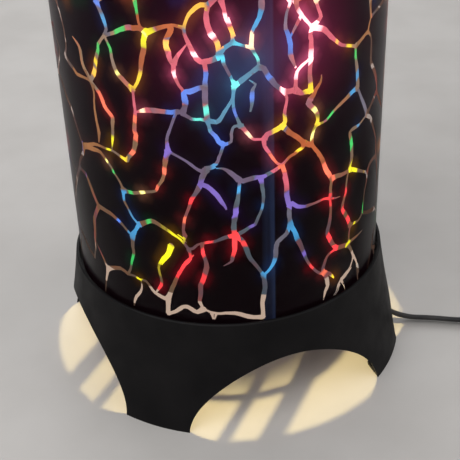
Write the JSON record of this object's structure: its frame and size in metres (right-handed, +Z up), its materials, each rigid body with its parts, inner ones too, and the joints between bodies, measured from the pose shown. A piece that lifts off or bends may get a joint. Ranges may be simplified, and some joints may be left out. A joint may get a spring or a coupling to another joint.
{
  "type": "motion lamp",
  "caption": "Table lamp with a vented arched base, a printed film shade, and a coloured inner drum that warm air from the bulb turns on a needle",
  "frame": {"origin": "on the table, under the axis of the lamp", "axes": "+Z up along the lamp's axis; the four arches of the base face +X, -X, +Y and -Y; the cord leaves through the +X arch"},
  "size_m": [0.3685, 0.1781, 0.33],
  "materials": {
    "base_plastic": "satin moulded black",
    "deck_plastic": "matt moulded black",
    "phenolic": "dark brown moulded",
    "zinc_steel": "zinc plated",
    "brass": "bright",
    "cap_aluminium": "rolled, plain",
    "bulb_glass": "clear",
    "filament": "glowing tungsten",
    "wire_steel": "drawn wire",
    "drum_film": "translucent dyed film, worn rainbow patches",
    "fan_foil": "thin stamped sheet",
    "cup_glass": "turned bearing cup",
    "shade_film": "glossy black printed film with fine clear cracks",
    "cap_plastic": "satin moulded black",
    "cord_black": "flexible sheath, satin black",
    "switch_black": "moulded black",
    "plug_black": "moulded on, black",
    "relief_rubber": "moulded sleeve"
  },
  "bodies": {
    "base": {"base_shell": "base_plastic", "vent_deck": "deck_plastic", "deck_screws": "zinc_steel", "cord_clamp_bar": "phenolic", "clamp_screws": "zinc_steel", "strain_relief": "relief_rubber", "inner_cord": "cord_black", "lead_wires": "cord_black", "nipple_tube": "zinc_steel", "nipple_nuts": "zinc_steel", "nipple_washer": "zinc_steel", "riser_tube": "zinc_steel", "holder_cap": "zinc_steel", "holder_body": "phenolic", "screw_shell": "brass", "centre_contact": "brass", "terminal_screws": "brass", "bail_saddle": "zinc_steel", "bail_wire": "wire_steel", "pivot_needle": "wire_steel", "cord_lead": "cord_black", "cord_link": "cord_black", "cord_coil": "cord_black", "cord_tail": "cord_black", "switch_base": "switch_black", "switch_cover": "switch_black", "switch_contact": "brass", "switch_screws": "zinc_steel", "plug_body": "plug_black", "plug_blades": "brass"},
    "bulb": {"bulb_cap": "cap_aluminium", "bulb_contact": "phenolic", "bulb_glass": "bulb_glass", "bulb_stem": "bulb_glass", "bulb_filament": "filament"},
    "drum": {"drum_sleeve": "drum_film", "drum_hoop": "drum_film", "drum_fan": "fan_foil", "drum_cup": "cup_glass"},
    "shade": {"shade_film": "shade_film"},
    "top_cap": {"top_cap": "cap_plastic"},
    "rocker": {"switch_rocker": "switch_black"}
  },
  "joints": [
    {"name": "drum_spin", "type": "hinge", "parent": "base", "child": "drum", "pos_m": [0, 0, 0.2945], "axis": [0, 0, 1], "continuous": true},
    {"name": "bulb_turn", "type": "hinge", "parent": "base", "child": "bulb", "pos_m": [0, 0, 0.0895], "axis": [0, 0, 1], "range_deg": [0, 1800]},
    {"name": "shade_lift", "type": "slide", "parent": "base", "child": "shade", "axis": [0, 0, 1], "range_m": [0, 0.26]},
    {"name": "cap_lift", "type": "slide", "parent": "shade", "child": "top_cap", "axis": [0, 0, 1], "range_m": [0, 0.03]},
    {"name": "switch_rocker", "type": "hinge", "parent": "base", "child": "rocker", "pos_m": [0.176, -0.06, 0.013], "axis": [0, 1, 0], "range_deg": [-18, 0]}
  ]
}
